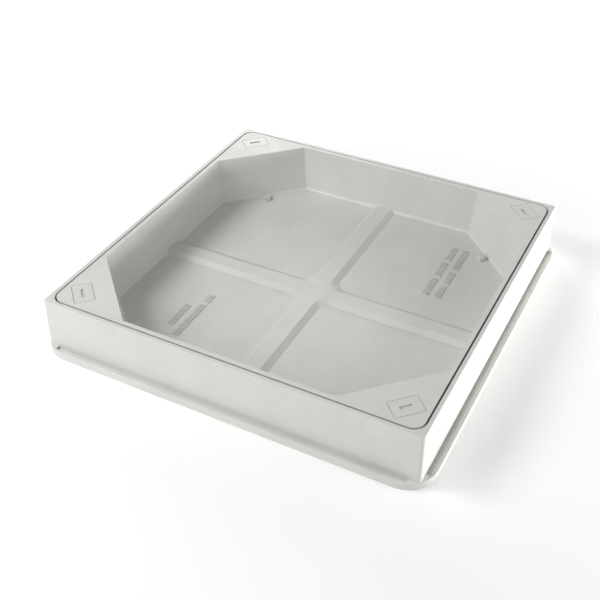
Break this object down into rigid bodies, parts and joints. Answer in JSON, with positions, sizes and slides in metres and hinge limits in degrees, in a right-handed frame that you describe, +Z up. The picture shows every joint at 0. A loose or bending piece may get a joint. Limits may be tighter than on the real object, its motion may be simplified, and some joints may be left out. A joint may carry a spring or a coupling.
{
  "type": "manhole cover",
  "caption": "Square recessed manhole cover and frame: a lift-out tray with corner plugs over its locking screws and lifting sleeves, to be filled with paving.",
  "frame": {"origin": "middle of the frame's flat underside", "axes": "+Z up, out of the ground; X and Y along the sides of the square"},
  "size_m": [0.6464, 0.6464, 0.095],
  "materials": {
    "composite_grey": "matt",
    "plug_plastic": "matt",
    "seal_rubber": "matt",
    "stainless_steel": "satin"
  },
  "bodies": {
    "frame": {"frame": "composite_grey", "sealing_strip": "seal_rubber", "locking_nut_front_left": "stainless_steel", "locking_nut_front_right": "stainless_steel", "locking_nut_back_right": "stainless_steel", "locking_nut_back_left": "stainless_steel"},
    "cover": {"cover_tray": "composite_grey", "lifting_sleeve_front_left": "stainless_steel", "anchor_bolt_front_left": "stainless_steel", "anchor_washer_front_left": "stainless_steel", "lifting_sleeve_front_right": "stainless_steel", "anchor_bolt_front_right": "stainless_steel", "anchor_washer_front_right": "stainless_steel", "lifting_sleeve_back_right": "stainless_steel", "anchor_bolt_back_right": "stainless_steel", "anchor_washer_back_right": "stainless_steel", "lifting_sleeve_back_left": "stainless_steel", "anchor_bolt_back_left": "stainless_steel", "anchor_washer_back_left": "stainless_steel"},
    "plug_front_left": {"corner_plug_front_left": "plug_plastic"},
    "washer_front_left": {"screw_washer_front_left": "stainless_steel"},
    "screw_front_left": {"locking_screw_front_left": "stainless_steel"},
    "plug_front_right": {"corner_plug_front_right": "plug_plastic"},
    "washer_front_right": {"screw_washer_front_right": "stainless_steel"},
    "screw_front_right": {"locking_screw_front_right": "stainless_steel"},
    "plug_back_right": {"corner_plug_back_right": "plug_plastic"},
    "washer_back_right": {"screw_washer_back_right": "stainless_steel"},
    "screw_back_right": {"locking_screw_back_right": "stainless_steel"},
    "plug_back_left": {"corner_plug_back_left": "plug_plastic"},
    "washer_back_left": {"screw_washer_back_left": "stainless_steel"},
    "screw_back_left": {"locking_screw_back_left": "stainless_steel"}
  },
  "joints": [
    {"name": "cover_lift", "type": "slide", "parent": "frame", "child": "cover", "axis": [0, 0, 1], "range_m": [0, 0.12]},
    {"name": "plug_pull_front_left", "type": "slide", "parent": "cover", "child": "plug_front_left", "axis": [0, 0, 1], "range_m": [0, 0.03]},
    {"name": "screw_rise_front_left", "type": "slide", "parent": "cover", "child": "washer_front_left", "axis": [0, 0, 1], "range_m": [0, 0.012]},
    {"name": "screw_turn_front_left", "type": "hinge", "parent": "washer_front_left", "child": "screw_front_left", "pos_m": [-0.27153, -0.2588, 0.06], "axis": [0, 0, 1], "range_deg": [0, 2880]},
    {"name": "plug_pull_front_right", "type": "slide", "parent": "cover", "child": "plug_front_right", "axis": [0, 0, 1], "range_m": [0, 0.03]},
    {"name": "screw_rise_front_right", "type": "slide", "parent": "cover", "child": "washer_front_right", "axis": [0, 0, 1], "range_m": [0, 0.012]},
    {"name": "screw_turn_front_right", "type": "hinge", "parent": "washer_front_right", "child": "screw_front_right", "pos_m": [0.27153, -0.2588, 0.06], "axis": [0, 0, 1], "range_deg": [0, 2880]},
    {"name": "plug_pull_back_right", "type": "slide", "parent": "cover", "child": "plug_back_right", "axis": [0, 0, 1], "range_m": [0, 0.03]},
    {"name": "screw_rise_back_right", "type": "slide", "parent": "cover", "child": "washer_back_right", "axis": [0, 0, 1], "range_m": [0, 0.012]},
    {"name": "screw_turn_back_right", "type": "hinge", "parent": "washer_back_right", "child": "screw_back_right", "pos_m": [0.27153, 0.2588, 0.06], "axis": [0, 0, 1], "range_deg": [0, 2880]},
    {"name": "plug_pull_back_left", "type": "slide", "parent": "cover", "child": "plug_back_left", "axis": [0, 0, 1], "range_m": [0, 0.03]},
    {"name": "screw_rise_back_left", "type": "slide", "parent": "cover", "child": "washer_back_left", "axis": [0, 0, 1], "range_m": [0, 0.012]},
    {"name": "screw_turn_back_left", "type": "hinge", "parent": "washer_back_left", "child": "screw_back_left", "pos_m": [-0.27153, 0.2588, 0.06], "axis": [0, 0, 1], "range_deg": [0, 2880]}
  ]
}
